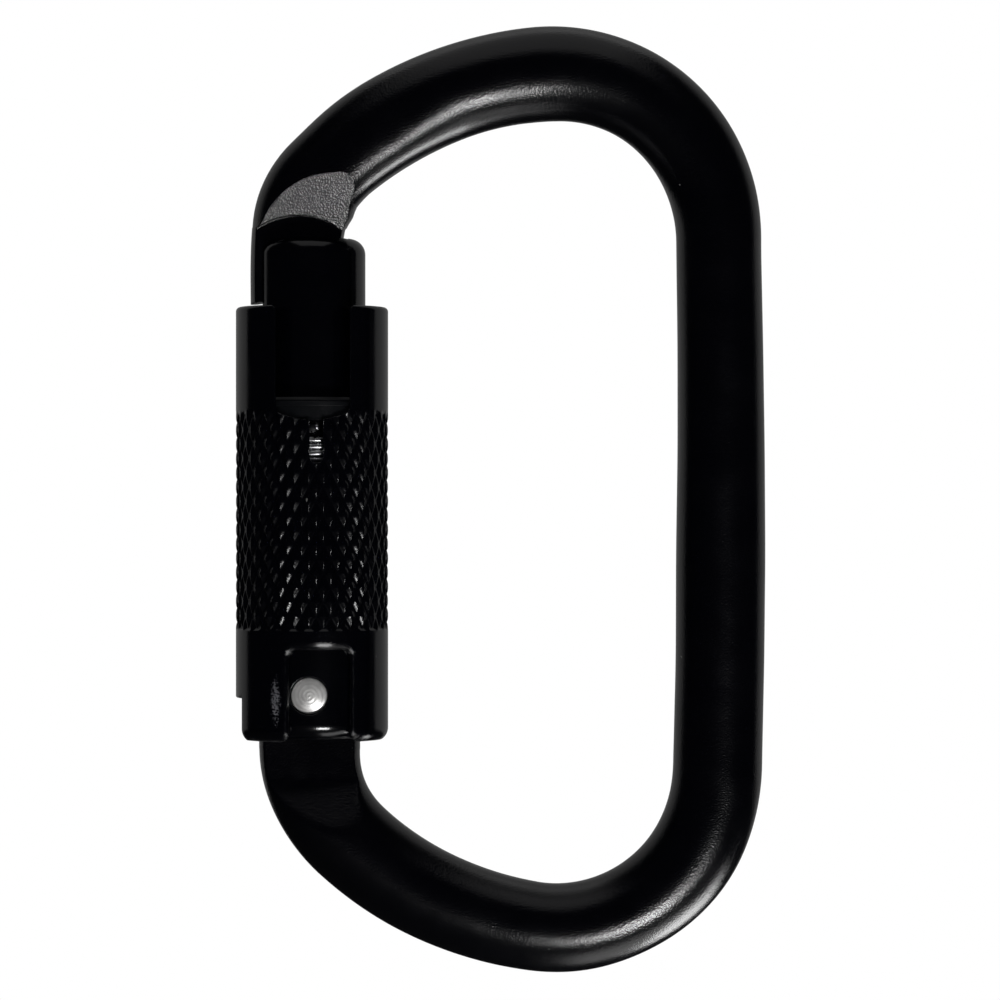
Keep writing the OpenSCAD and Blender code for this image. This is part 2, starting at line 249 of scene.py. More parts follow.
def cross_bar(name, x, z, radius, y0, y1, sides=64):
    """A round bar across the gate, along Y."""
    turn = np.linspace(0, 2 * math.pi, sides, endpoint=False)
    rings = [
        np.stack([x + radius * np.cos(turn), np.full(sides, y), z + radius * np.sin(turn)], 1)
        for y in (y0, y1)
    ]
    return tube(name, rings)


def plate(name, outline, y0, y1):
    """A flat outline in the plane of the bow, from y0 to y1."""
    x, z = np.asarray(outline, float).T
    return tube(name, [np.stack([x, np.full(len(x), y), z], 1) for y in (y0, y1)])


def arc(centre, radius, start, end, steps=12):
    """Points on an arc in an outline, from one angle to another."""
    angles = np.radians(np.linspace(start, end, steps + 1))
    return [(centre[0] + radius * math.cos(a), centre[1] + radius * math.sin(a)) for a in angles]


# Round bar, a little boxier on the inside of the bow near the nose. The hinge tongue's flats run
# out in a slope.
HINGE_SLOPE = 0.48
HINGE_LINE = HINGE_Z - 3.45
SLOPE_FILLET = 0.3
GATE_SIDE = 16
BOXY_FROM = 40
BOXINESS = 0.7
UNCUT = 20.0
SIDES = 96
line = np.concatenate([s[0][0] for s in STRETCHES])
out = np.concatenate([s[0][1] for s in STRETCHES])
outer = softened(np.concatenate([spaced(s[1], len(s[0][0])) for s in STRETCHES]), 5)
inner = softened(np.concatenate([spaced(s[2], len(s[0][0])) for s in STRETCHES]), 5)
theta = np.linspace(0, 2 * math.pi, SIDES, endpoint=False)


def bar_ring(point, outwards, half_out, half_in):
    """One cross-section of the bar."""
    sideways = np.clip((GATE_SIDE - point[0]) / 8, 0, 1)
    upwards = np.clip((point[1] - BOXY_FROM) / 10, 0, 1)
    c, s = np.cos(theta), np.sin(theta)
    power = 2 / (2 + BOXINESS * float(sideways * upwards) * (c < 0))
    across = np.sign(c) * np.abs(c) ** power * np.where(c > 0, half_out, half_in)
    depth = BAR_DEPTH * np.sign(s) * np.abs(s) ** power
    x = point[0] + across * outwards[0]
    z = point[1] + across * outwards[1]
    flat = np.full(SIDES, UNCUT)
    if point[0] < GATE_SIDE and point[1] < 0:
        flat = TONGUE + HINGE_SLOPE * np.maximum(0, HINGE_LINE - z)
    depth = np.sign(depth) * soft_min(np.abs(depth), flat, SLOPE_FILLET)
    return np.stack([x, depth, z], 1)


def eased(value, low, high):
    """Nothing at low, one at high, and smooth between."""
    share = np.clip((value - low) / (high - low), 0, 1)
    return share * share * (3 - 2 * share)


# Round back corner of the hinge tongue, and the cam that the plunger rides on.
HEEL = 3.1
HEEL_LOW = 0.5
CAM_HEIGHTS = [1.6, 2.9, 3.3, CAM_TOP]
CAM_HALF_WIDTHS = [5.775, 5.15, 4.1, 2.87]
tongue_start = len(line) - len(STRETCHES[-1][0][0])
rings = []
for i, (point, outwards) in enumerate(zip(line, out)):
    half_out, half_in = outer[i], inner[i]
    if i >= tongue_start:
        high = max(0.0, point[1] - HEEL_LOW)
        half_out -= HEEL - math.sqrt(max(0.0, HEEL ** 2 - high ** 2))
        half_in = min(half_in, np.interp(point[1], CAM_HEIGHTS, CAM_HALF_WIDTHS))
    rings.append(bar_ring(point, outwards, half_out, half_in))
forged_body = tube("forged_body", rings)

# The rivet's bore, and the hook for the latch pin, open towards the spine.
RIVET_BORE = 1.55
PAST_BAR = 9
LATCH = (-0.5, RIM_SWEEP + 3.45)
LATCH_CUT = 1.5
PIN_REACH = math.hypot(*LATCH)
hook = (
    arc(LATCH, LATCH_CUT, 90, 270)
    + arc((0, 0), PIN_REACH - LATCH_CUT, 90, 80)
    + arc((0, 0), PIN_REACH + LATCH_CUT, 80, 90)
)
# The nose ends just outside the path that the sleeve's rim takes when the gate swings.
NOSE_GAP = 0.08
BELOW_NOSE = 30
under_nose = arc((0, 0), RIM_SWEEP - NOSE_GAP, 102, 78, 48)
under_nose += [(PAST_BAR, BELOW_NOSE), (-PAST_BAR, BELOW_NOSE)]
cut(
    forged_body,
    cross_bar("bore", 0, 0, RIVET_BORE, -PAST_BAR, PAST_BAR),
    plate("hook", hook, -PAST_BAR, PAST_BAR),
    plate("under_nose", under_nose, -PAST_BAR, PAST_BAR),
)

# The nose is milled flat on both sides up to an arched shoulder, and a sloping facet runs from
# the shoulder out to the round bar. The facet is a plane that leans down and to the spine.
SHOULDER_CREST = (-1.5, 54.45)
SHOULDER_DROP = 0.0645
FACET_DEPTH = 3.2
FACET_RISE = 0.462
FACET_LEAN = -0.075
FACET_OVERLAP = 0.1
FACET_OUTSIDE = 15.0
FACET_EDGE = [
    (7.5, 54), (5.7, 56), (5.1, 57.2), (4.7, 58.4), (4.0, 59.2), (3.0, 59.7), (1, 60.3), (-2, 61), (-9, 63),
]
shoulder = [
    (x, SHOULDER_CREST[1] - SHOULDER_DROP * (x - SHOULDER_CREST[0]) ** 2)
    for x in np.linspace(PAST_BAR, -PAST_BAR, 73)
]


def facet_solid(name, side):
    """All that lies above the shoulder and outside the facet's plane, on one face of the bow."""
    below_shoulder = [(x, z - FACET_OVERLAP) for x, z in shoulder[::-1] if x < FACET_EDGE[0][0]]
    x, z = np.array(FACET_EDGE + below_shoulder, float).T
    rise = FACET_RISE * (z - SHOULDER_CREST[1]) + FACET_LEAN * (x - SHOULDER_CREST[0])
    inner_face = np.stack([x, side * (FACET_DEPTH + rise), z], 1)
    outer_face = np.stack([x, np.full(len(x), side * FACET_OUTSIDE), z], 1)
    return tube(name, [inner_face, outer_face])


for side in (-1, 1):
    low, high = sorted((side * TONGUE, side * PAST_BAR))
    outline = [(-PAST_BAR, BELOW_NOSE), (PAST_BAR, BELOW_NOSE)] + shoulder
    tongue_flat = plate("tongue_flat", outline, low, high)
    cut(forged_body, facet_solid("facet", side), tongue_flat)


def node(tree, kind, sockets=(), **settings):
    """Adds a shader node. sockets maps its inputs to numbers, colours or other nodes' outputs."""
    made = tree.nodes.new(kind)
    for name, value in settings.items():
        setattr(made, name, value)
    for name, value in dict(sockets).items():
        if isinstance(value, bpy.types.NodeSocket):
            tree.links.new(value, made.inputs[name])
        else:
            made.inputs[name].default_value = value
    return made


def effect(name, inputs, outputs):
    """An empty shader node group with named number inputs, and its two end nodes."""
    tree = bpy.data.node_groups.new(name, "ShaderNodeTree")
    for label, value in inputs.items():
        socket = tree.interface.new_socket(label, in_out="INPUT", socket_type="NodeSocketFloat")
        socket.default_value = value
    for label, kind in outputs.items():
        tree.interface.new_socket(label, in_out="OUTPUT", socket_type=kind)
    return tree, tree.nodes.new("NodeGroupInput").outputs, tree.nodes.new("NodeGroupOutput").inputs


def math_node(tree, operation, *values, clamp=False):
    """A Math node's result."""
    made = node(tree, "ShaderNodeMath", dict(enumerate(values)), operation=operation, use_clamp=clamp)
    return made.outputs[0]


def place(tree, group, **sockets):
    """A group inside a material. An underline in a socket's name stands for a space."""
    named = {name.replace("_", " "): value for name, value in sockets.items()}
    return node(tree, "ShaderNodeGroup", named, node_tree=group)


# Powder coat grain: a fine wrinkled skin, with a slower change of gloss over it.
powder_grain, given, result = effect(
    "powder_grain", {"Grain": 3200.0, "Patch": 180.0},
    {"Height": "NodeSocketFloat", "Gloss": "NodeSocketFloat"},
)
where = node(powder_grain, "ShaderNodeTexCoord").outputs["Object"]
wrinkle = node(powder_grain, "ShaderNodeTexNoise", {
    "Vector": where, "Scale": given["Grain"], "Detail": 2.0, "Roughness": 0.6, "Distortion": 0.6,
})
pores = node(powder_grain, "ShaderNodeTexVoronoi",
             {"Vector": where, "Scale": given["Grain"], "Smoothness": 0.6}, feature="SMOOTH_F1")
patch = node(powder_grain, "ShaderNodeTexNoise", {"Vector": where, "Scale": given["Patch"], "Detail": 3.0})
height = math_node(powder_grain, "MULTIPLY_ADD", pores.outputs["Distance"], 1.3, wrinkle.outputs[0])
powder_grain.links.new(height, result["Height"])
gloss = math_node(powder_grain, "MULTIPLY_ADD", wrinkle.outputs[0], 0.35, patch.outputs[0])
powder_grain.links.new(gloss, result["Gloss"])

# Edge wear: a mask of the corners where handling thins a coat, broken up by noise, and the
# normal of the same corners, softened.
edge_wear, given, result = effect(
    "edge_wear", {"Radius": 0.00012, "Low": 0.05, "High": 0.3, "Breakup": 1500.0},
    {"Mask": "NodeSocketFloat", "Normal": "NodeSocketVector"},
)
where = node(edge_wear, "ShaderNodeTexCoord").outputs["Object"]
rounded = node(edge_wear, "ShaderNodeBevel", {"Radius": given["Radius"]}, samples=6).outputs[0]
true_normal = node(edge_wear, "ShaderNodeNewGeometry").outputs["Normal"]
facing = node(edge_wear, "ShaderNodeVectorMath", {0: rounded, 1: true_normal}, operation="DOT_PRODUCT")
corner = math_node(edge_wear, "SUBTRACT", 1.0, facing.outputs["Value"])
chips = node(edge_wear, "ShaderNodeTexNoise", {"Vector": where, "Scale": given["Breakup"], "Detail": 3.0})
amount = math_node(edge_wear, "MULTIPLY", corner, chips.outputs[0])
mask = node(edge_wear, "ShaderNodeMapRange", {0: amount, 1: given["Low"], 2: given["High"]})
edge_wear.links.new(mask.outputs[0], result["Mask"])
edge_wear.links.new(rounded, result["Normal"])

# Dust and nicks: a few pale specks, far apart.
specks, given, result = effect("specks", {"Spacing": 260.0, "Size": 0.045}, {"Mask": "NodeSocketFloat"})
where = node(specks, "ShaderNodeTexCoord").outputs["Object"]
bent = node(specks, "ShaderNodeTexNoise", {"Vector": where, "Scale": 2500.0, "Detail": 1.0})
moved = node(specks, "ShaderNodeVectorMath", {0: bent.outputs["Color"], 1: (0.0006,) * 3, 2: where},
             operation="MULTIPLY_ADD")
cells = node(specks, "ShaderNodeTexVoronoi", {"Vector": moved.outputs[0], "Scale": given["Spacing"]})
near = node(specks, "ShaderNodeMapRange", {0: cells.outputs["Distance"], 1: given["Size"], 2: 0.0})
chosen = node(specks, "ShaderNodeSeparateColor", {0: cells.outputs["Color"]})
rare = math_node(specks, "GREATER_THAN", chosen.outputs[0], 0.82)
specks.links.new(math_node(specks, "MULTIPLY", near.outputs[0], rare), result["Mask"])


def mix_colour(tree, share, first, second):
    """A colour mixed by a mask."""
    made = node(tree, "ShaderNodeMix", {0: share}, data_type="RGBA")
    for socket, value in ((made.inputs[6], first), (made.inputs[7], second)):
        if isinstance(value, bpy.types.NodeSocket):
            tree.links.new(value, socket)
        else:
            socket.default_value = value
    return made.outputs[2]


def mix_value(tree, share, first, second):
    """A number mixed by a mask."""
    return node(tree, "ShaderNodeMix", {0: share, 2: first, 3: second}).outputs[0]


COAT_SPECULAR = 0.6
WORN_FROM = 0.16
WORN_TO = 0.51
WORN_ROUGHNESS = 0.32
WORN_METAL = 0.85
DEEP_SHADE = 0.72
DUST = (0.25, 0.25, 0.24, 1)


def black_coat(name, colour, bare, roughness, grain, bump, wear_radius):
    """Black coat over metal: grain, uneven gloss, worn corners and a little dust."""
    material = bpy.data.materials.new(name)
    material.use_nodes = True
    tree = material.node_tree
    shader = tree.nodes["Principled BSDF"]
    skin = place(tree, powder_grain, Grain=grain)
    wear = place(tree, edge_wear, Radius=wear_radius, Low=WORN_FROM, High=WORN_TO)
    dust = place(tree, specks)
    worn = wear.outputs["Mask"]
    deep = [c * DEEP_SHADE for c in colour[:3]] + [1.0]
    coat = mix_colour(tree, skin.outputs["Gloss"], deep, colour)
    coat = mix_colour(tree, dust.outputs["Mask"], coat, DUST)
    tree.links.new(mix_colour(tree, worn, coat, bare), shader.inputs["Base Color"])
    tree.links.new(math_node(tree, "MULTIPLY", worn, WORN_METAL), shader.inputs["Metallic"])
    uneven = node(tree, "ShaderNodeMapRange",
                  {0: skin.outputs["Gloss"], 1: 0.4, 2: 0.95, 3: roughness - 0.05, 4: roughness + 0.07})
    tree.links.new(mix_value(tree, worn, uneven.outputs[0], WORN_ROUGHNESS), shader.inputs["Roughness"])
    relief = node(tree, "ShaderNodeBump", {
        "Strength": 1.0, "Distance": bump,
        "Height": skin.outputs["Height"], "Normal": wear.outputs["Normal"],
    })
    tree.links.new(relief.outputs[0], shader.inputs["Normal"])
    shader.inputs["Specular IOR Level"].default_value = COAT_SPECULAR
    return material


BODY_BLACK = (0.0006, 0.0007, 0.0015, 1)
BARE_STEEL = (0.42, 0.42, 0.42, 1)
powder_black = black_coat(
    "powder_black", BODY_BLACK, BARE_STEEL, roughness=0.19, grain=5200.0, bump=0.000014, wear_radius=0.00025
)
seat(forged_body, powder_black, 16)
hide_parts("body")
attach(forged_body, "frame")


# Gate barrel. Turned from solid steel bar: a slim upper part that the guide ring slides on, and
# a thick collar at the hinge. The nose slot and the hinge fork are milled, and the whole is coated.
BARREL = 6.1
SHOULDER = 6.5
COLLAR = gate_high.x
COLLAR_TOP = 12.0
END_ROUND = 1.8
COLUMNS = 192
PLAY = 0.3
FORK = TONGUE + PLAY
ring_low, ring_high = box_mm("guide_ring")
SHOULDER_Z = ring_low.z - PLAY
SLOT_FLOOR = RIM_SWEEP - 1.1


def lathe(name, profile, columns=COLUMNS, along_y=False):
    """A turned piece from a closed profile of radii and heights, about Z or about Y."""
    profile = np.asarray(profile, float)
    turn = np.linspace(0, 2 * math.pi, columns, endpoint=False)
    points = [[r * np.cos(turn), r * np.sin(turn), np.full(columns, h)] for r, h in profile]
    points = np.concatenate([np.stack(p, 1) for p in points])
    if along_y:
        points = points[:, [0, 2, 1]]
    rows = len(profile)
    faces = [
        (j * columns + i, j * columns + (i + 1) % columns,
         (j + 1) % rows * columns + (i + 1) % columns, (j + 1) % rows * columns + i)
        for j in range(rows)
        for i in range(columns)
    ]
    piece = new_mesh(name, points, faces)
    skin = bmesh.new()
    skin.from_mesh(piece.data)
    flat = [f for f in skin.faces if f.calc_area() < 1e-9]
    bmesh.ops.delete(skin, geom=flat, context="FACES_ONLY")
    skin.to_mesh(piece.data)
    skin.free()
    return piece


def stepped(points, step):
    """The same profile, with long straight stretches divided."""
    result = []
    for (r0, z0), (r1, z1) in zip(points, points[1:]):
        count = max(1, int(math.hypot(r1 - r0, z1 - z0) / step))
        result += [(r0 + (r1 - r0) * k / count, z0 + (z1 - z0) * k / count) for k in range(count)]
    return result + [points[-1]]


barrel_profile = (
    [(0, gate_low.z)]
    + arc((COLLAR - END_ROUND, gate_low.z + END_ROUND), END_ROUND, 270, 360, 16)
    + arc((COLLAR - 0.4, COLLAR_TOP - 0.4), 0.4, 0, 90, 5)
    + [(SHOULDER, COLLAR_TOP)]
    + arc((SHOULDER - 0.15, SHOULDER_Z - 0.15), 0.15, 0, 90, 3)
    + [(BARREL, SHOULDER_Z)]
    + arc((BARREL - END_ROUND, gate_high.z - END_ROUND), END_ROUND, 0, 90, 16)
    + [(0, gate_high.z)]
)
gate_shell = lathe("gate_shell", stepped(barrel_profile, 1.2))


def block(name, low, high):
    """A square cutter between two corners."""
    (x0, y0, z0), (x1, y1, z1) = low, high
    return plate(name, [(x0, z0), (x1, z0), (x1, z1), (x0, z1)], y0, y1)


def flared_slot(name, x0, x1, half, floor, top, flare):
    """A milled slot across the barrel that opens at the top, with its mouth broken by a chamfer."""
    section = [(-half, floor), (half, floor), (half, top - flare), (half + flare + 1, top + 1),
               (-half - flare - 1, top + 1), (-half, top - flare)]
    rings = [np.array([(x, y, z) for y, z in section]) for x in (x0, x1)]
    return tube(name, rings)


PAST_GATE = 12
FORK_TOP = 5.2
MOUTH_CHAMFER = 0.25
NOSE_HALF = 5.2
NOSE_SLOT_END = NOSE_X + NOSE_HALF + PLAY
SPRING_BORE = 3.45
SPRING_BORE_END = 26
RIVET_HOLE = 1.52
HEAD_POCKET = 2.17
POCKET_FLOOR = COLLAR - 0.95
PIN_HOLE = 1.22
PIN_HOLE_FLOOR = -BARREL + 1.05
KEYWAY = 0.7
KEYWAY_FLOOR = BARREL - 0.6
KEYWAY_LENGTH = 9.1
spring_bore = [
    (0, CAM_TOP - PLAY), (SPRING_BORE, CAM_TOP - PLAY), (SPRING_BORE, SPRING_BORE_END),
    (0, SPRING_BORE_END + 2),
]
cut(
    gate_shell,
    block("fork", (-PAST_GATE, -FORK, -9), (PAST_GATE, FORK, FORK_TOP)),
    lathe("spring_bore", spring_bore, 96),
    flared_slot("nose_slot", -PAST_GATE, NOSE_SLOT_END, FORK, SLOT_FLOOR, gate_high.z, MOUTH_CHAMFER),
    cross_bar("rivet_hole", 0, 0, RIVET_HOLE, -PAST_GATE, PAST_GATE),
    cross_bar("front_pocket", 0, 0, HEAD_POCKET, -PAST_GATE, -POCKET_FLOOR),
    cross_bar("back_pocket", 0, 0, HEAD_POCKET, POCKET_FLOOR, PAST_GATE),
    cross_bar("latch_hole", LATCH[0], LATCH[1], PIN_HOLE, PIN_HOLE_FLOOR, PAST_GATE),
    block("keyway", (-KEYWAY, KEYWAY_FLOOR, SHOULDER_Z - 0.01), (KEYWAY, 9, SHOULDER_Z + KEYWAY_LENGTH)),
)
GATE_BLACK = (0.0005, 0.0006, 0.0013, 1)
gate_black = black_coat(
    "gate_black", GATE_BLACK, BARE_STEEL, roughness=0.14, grain=4200.0, bump=0.000003, wear_radius=0.0002
)
seat(gate_shell, gate_black)
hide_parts("gate_barrel")
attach(gate_shell, "gate")


# Hinge rivet. A stainless pin through fork and tongue, with both heads turned to low domes after
# it was pressed in, so that fine rings run round each head.
SHANK = 1.5
HEAD = 2.05
HEAD_SEAT = COLLAR - 0.9
HEAD_EDGE = 0.25
DOME = 0.5
dome_radius = (HEAD ** 2 + DOME ** 2) / (2 * DOME)
half_turn = math.degrees(math.asin(HEAD / dome_radius))
dome_centre = HEAD_SEAT + HEAD_EDGE + DOME - dome_radius


def dome(side):
    """One head's profile, from its rim to its crown."""
    points = arc((0, dome_centre), dome_radius, 90 - half_turn, 90, 24)
    rim = [(HEAD, HEAD_SEAT), (HEAD, HEAD_SEAT + HEAD_EDGE * 0.6)]
    return [(max(0.0, r), side * h) for r, h in rim + points[1:]]


rivet_profile = dome(-1)[::-1] + [(SHANK, -HEAD_SEAT), (SHANK, HEAD_SEAT)] + dome(1)
turned_rivet = lathe("turned_rivet", rivet_profile, 96, along_y=True)

# Turning marks: fine rings about the rivet's axis that wander into a spiral, as a tool leaves them.
turning_marks, given, result = effect(
    "turning_marks", {"Pitch": 9000.0, "Wander": 1.0}, {"Height": "NodeSocketFloat"}
)
where = node(turning_marks, "ShaderNodeTexCoord").outputs["Object"]
local = node(turning_marks, "ShaderNodeVectorMath", {0: where, 1: tuple(RIVET)}, operation="SUBTRACT")
parts = node(turning_marks, "ShaderNodeSeparateXYZ", {0: local.outputs[0]})
angle = math_node(turning_marks, "ARCTAN2", parts.outputs["Z"], parts.outputs["X"])
squares = [math_node(turning_marks, "POWER", parts.outputs[axis], 2.0) for axis in ("X", "Z")]
distance = math_node(turning_marks, "SQRT", math_node(turning_marks, "ADD", *squares))
waver = node(turning_marks, "ShaderNodeTexNoise",
             {"Vector": local.outputs[0], "Scale": 900.0, "Detail": 2.0})
phase = math_node(turning_marks, "MULTIPLY_ADD", distance, given["Pitch"], angle)
phase = math_node(turning_marks, "MULTIPLY_ADD", waver.outputs[0], given["Wander"], phase)
turning_marks.links.new(math_node(turning_marks, "SINE", phase), result["Height"])


def bright_steel(name, colour, roughness, bump, marks=0, detail=9000.0, metallic=1.0):
    """Bare steel: turning marks of a pitch, or a fine grain without them, and a smudged gloss."""
    material = bpy.data.materials.new(name)
    material.use_nodes = True
    tree = material.node_tree
    shader = tree.nodes["Principled BSDF"]
    where = node(tree, "ShaderNodeTexCoord").outputs["Object"]
    smudge = node(tree, "ShaderNodeTexNoise", {"Vector": where, "Scale": 900.0, "Detail": 3.0}).outputs[0]
    fine = node(tree, "ShaderNodeTexNoise", {"Vector": where, "Scale": detail, "Detail": 2.0}).outputs[0]
    height = place(tree, turning_marks, Pitch=marks, Wander=2.5).outputs[0] if marks else fine
    dull = [c * 0.7 for c in colour[:3]] + [1.0]
    tone = mix_colour(tree, smudge, dull, colour)
    tree.links.new(tone, shader.inputs["Base Color"])
    gloss = node(tree, "ShaderNodeMapRange",
                 {0: smudge, 1: 0.3, 2: 0.7, 3: roughness - 0.06, 4: roughness + 0.08})
    tree.links.new(gloss.outputs[0], shader.inputs["Roughness"])
    relief = node(tree, "ShaderNodeBump", {"Strength": 1.0, "Distance": bump, "Height": height})
    tree.links.new(relief.outputs[0], shader.inputs["Normal"])
    shader.inputs["Metallic"].default_value = metallic
    return material


RIVET_STEEL = (0.97, 0.96, 0.94, 1)
rivet_steel = bright_steel("rivet_steel", RIVET_STEEL, 0.42, 0.000007, marks=14000.0, metallic=0.75)
seat(turned_rivet, rivet_steel)
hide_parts("hinge_rivet")
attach(turned_rivet, "gate")


# Latch pin. A hardened and ground dowel, pressed into a blind hole behind the gate's nose slot.
# The nose hooks over it when the connector is loaded.
PIN = 1.2
PIN_FRONT = -BARREL + 1.1
PIN_BACK = BARREL - 0.12
PIN_EDGE = 0.2
pin_profile = [(0, PIN_FRONT)] + arc((PIN - PIN_EDGE, PIN_FRONT + PIN_EDGE), PIN_EDGE, 270, 360, 5)
pin_profile += arc((PIN - PIN_EDGE, PIN_BACK - PIN_EDGE), PIN_EDGE, 0, 90, 5) + [(0, PIN_BACK)]
latch_dowel = lathe("latch_dowel", pin_profile, 64, along_y=True)
latch_dowel.data.transform(Matrix.Translation((LATCH[0], 0, LATCH[1])))
PIN_STEEL = (0.42, 0.42, 0.43, 1)
pin_steel = bright_steel("pin_steel", PIN_STEEL, 0.3, 0.000003)
seat(latch_dowel, pin_steel)
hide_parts("latch_pin")
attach(latch_dowel, "gate")


# Plunger. A turned steel button in the gate's bore. The gate spring presses its flat face onto
# the cam of the hinge tongue, and its spigot keeps the spring central.
PLUNGER = 3.4
SPIGOT = 1.7
plunger_low, plunger_high = box_mm("spring_plunger")
SPIGOT_LENGTH = 2.2
END_EDGE = 0.3
STEP_EDGE = 0.15
STEP = plunger_high.z - SPIGOT_LENGTH
plunger_profile = (
    [(0, plunger_low.z)]
    + arc((PLUNGER - END_EDGE, plunger_low.z + END_EDGE), END_EDGE, 270, 360, 5)
    + arc((PLUNGER - STEP_EDGE, STEP - STEP_EDGE), STEP_EDGE, 0, 90, 3)
    + [(SPIGOT, STEP)]
    + arc((SPIGOT - END_EDGE, plunger_high.z - END_EDGE), END_EDGE, 0, 90, 5)
    + [(0, plunger_high.z)]
)
button = lathe("plunger_button", plunger_profile, 96)
PLUNGER_STEEL = (0.55, 0.55, 0.56, 1)
plunger_steel = bright_steel("plunger_steel", PLUNGER_STEEL, 0.3, 0.000004)
seat(button, plunger_steel)
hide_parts("spring_plunger")
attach(button, "plunger")


# Gate spring. Hard-drawn steel wire, wound with closed ends. It sits in the gate's bore between
# the plunger and the bore's blind end, and closes the gate.
GATE_WIRE = 0.4
GATE_COIL = 2.45
GATE_TURNS = 9
spring_low, spring_high = box_mm("gate_spring")


def coiled_wire(name, path, radius, sides=12):
    """Round wire along a path. The radius is one number, or one for each point."""
    path = np.asarray(path, float)
    ahead = np.gradient(path, axis=0)
    ahead /= np.linalg.norm(ahead, axis=1)[:, None]
    side = np.cross(ahead, [0, 0, 1])
    side /= np.linalg.norm(side, axis=1)[:, None]
    over = np.cross(side, ahead)
    turn = np.linspace(0, 2 * math.pi, sides, endpoint=False)
    rings = [
        p + r * (np.outer(np.cos(turn), u) + np.outer(np.sin(turn), v))
        for p, u, v, r in zip(path, side, over, np.broadcast_to(radius, len(path)))
    ]
    return tube(name, rings)


def closed_end_height(share, low, high, wire):
    """Height along a compression spring whose end turns lie close together."""
    end = 0.1
    seat_rise = wire * 1.75
    middle_part = (share - end) / (1 - 2 * end) * (high - low - 2 * seat_rise)
    at_top = high - (1 - share) / end * seat_rise
    upper = np.where(share > 1 - end, at_top, low + seat_rise + middle_part)
    return np.where(share < end, low + share / end * seat_rise, upper)


share = np.linspace(0, 1, GATE_TURNS * 48 + 1)
turn = share * GATE_TURNS * 2 * math.pi
rise = closed_end_height(share, spring_low.z + GATE_WIRE, spring_high.z - GATE_WIRE, GATE_WIRE)
closing_spring = coiled_wire(
    "closing_spring", np.stack([GATE_COIL * np.cos(turn), GATE_COIL * np.sin(turn), rise], 1), GATE_WIRE
)
WIRE_STEEL = (0.6, 0.6, 0.61, 1)
spring_wire = bright_steel("spring_wire", WIRE_STEEL, 0.28, 0.000004, detail=5000.0)
seat(closing_spring, spring_wire, 50)
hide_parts("gate_spring")
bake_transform(closing_spring)


# Guide ring. A split bush of black acetal on the barrel. Its key slides in the barrel's keyway,
# and its lip snaps into the sleeve's groove, so the sleeve turns on it but cannot come off.
BORE = sleeve_high.x - 0.7
FIT = 0.05
LIP = BORE + 0.18
LIP_LOW = ring_low.z + 1.6
LIP_HIGH = ring_low.z + 2.1
ring_profile = [
    (BARREL + FIT, ring_low.z), (BORE - 0.35, ring_low.z), (BORE - FIT, ring_low.z + 0.3),
    (BORE - FIT, LIP_LOW), (LIP - 0.04, LIP_LOW), (LIP, LIP_LOW + 0.06),
    (LIP, LIP_HIGH - 0.06), (LIP - 0.04, LIP_HIGH), (BORE - FIT, LIP_HIGH),
    (BORE - FIT, ring_high.z - 0.3), (BORE - 0.35, ring_high.z), (BARREL + FIT, ring_high.z),
]
guide_bush = lathe("guide_bush", ring_profile, 144)
SPLIT = 0.5
SPLIT_AT = 30
KEY = 0.6
split = block("split", (BARREL - 2, -SPLIT, ring_low.z - 1), (BARREL + 4, SPLIT, ring_high.z + 1))
split.data.transform(Matrix.Rotation(math.radians(SPLIT_AT), 4, "Z"))
cut(guide_bush, split)
key = block("guide_key", (-KEY, BARREL - 0.5, ring_low.z + 0.02), (KEY, BARREL + 0.4, ring_high.z - 0.02))
combine(guide_bush, "UNION", [key])

ACETAL_DARK = (0.0016, 0.0018, 0.0024, 1)
ACETAL_PALE = (0.0035, 0.004, 0.005, 1)
acetal = bpy.data.materials.new("black_acetal")
acetal.use_nodes = True
tree = acetal.node_tree
acetal_shader = tree.nodes["Principled BSDF"]
acetal_shader.inputs["Specular IOR Level"].default_value = 0.35
skin = place(tree, powder_grain, Grain=2200.0, Patch=500.0)
tone = mix_colour(tree, skin.outputs["Gloss"], ACETAL_DARK, ACETAL_PALE)
tree.links.new(tone, acetal_shader.inputs["Base Color"])
gloss = node(tree, "ShaderNodeMapRange", {0: skin.outputs["Gloss"], 1: 0.4, 2: 0.95, 3: 0.3, 4: 0.42})
tree.links.new(gloss.outputs[0], acetal_shader.inputs["Roughness"])
relief = node(tree, "ShaderNodeBump", {"Distance": 0.000006, "Height": skin.outputs["Height"]})
tree.links.new(relief.outputs[0], acetal_shader.inputs["Normal"])
seat(guide_bush, acetal)
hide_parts("guide_ring")
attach(guide_bush, "carrier")


# Locking sleeve. A thin turned steel tube with a rolled diamond knurl round its middle, milled
# through for the nose, the spring's leg and the rivet, relieved at its lower rim, and coated.
OUTER = sleeve_high.x
TOP = sleeve_high.z
FOOT = sleeve_low.z
KNURL_STARTS = 32
KNURL_RISE = 3.25
KNURL_DEPTH = 0.3
GROOVE_HALF = 0.44
KNURL_LOW = 7.3
KNURL_HIGH = TOP - 11.8
PER_DIAMOND = 12
FOOT_ROUND = 1.6
columns = KNURL_STARTS * PER_DIAMOND
band_rows = int(round((KNURL_HIGH - KNURL_LOW) / KNURL_RISE * PER_DIAMOND))
band = [(OUTER, KNURL_LOW + (KNURL_HIGH - KNURL_LOW) * j / band_rows) for j in range(band_rows + 1)]
outside = (
    arc((OUTER - FOOT_ROUND, FOOT + 1.32), FOOT_ROUND, 305, 360, 14)
    + stepped([(OUTER, FOOT + FOOT_ROUND), (OUTER, KNURL_LOW - 0.3)], 1.5)
    + band
    + stepped([(OUTER, KNURL_HIGH + 0.3), (OUTER, TOP - 0.7)], 1.5)
    + arc((OUTER - RIM_ROUND, TOP - RIM_ROUND), RIM_ROUND, 0, 90, 10)
)
GROOVE = BORE + 0.25
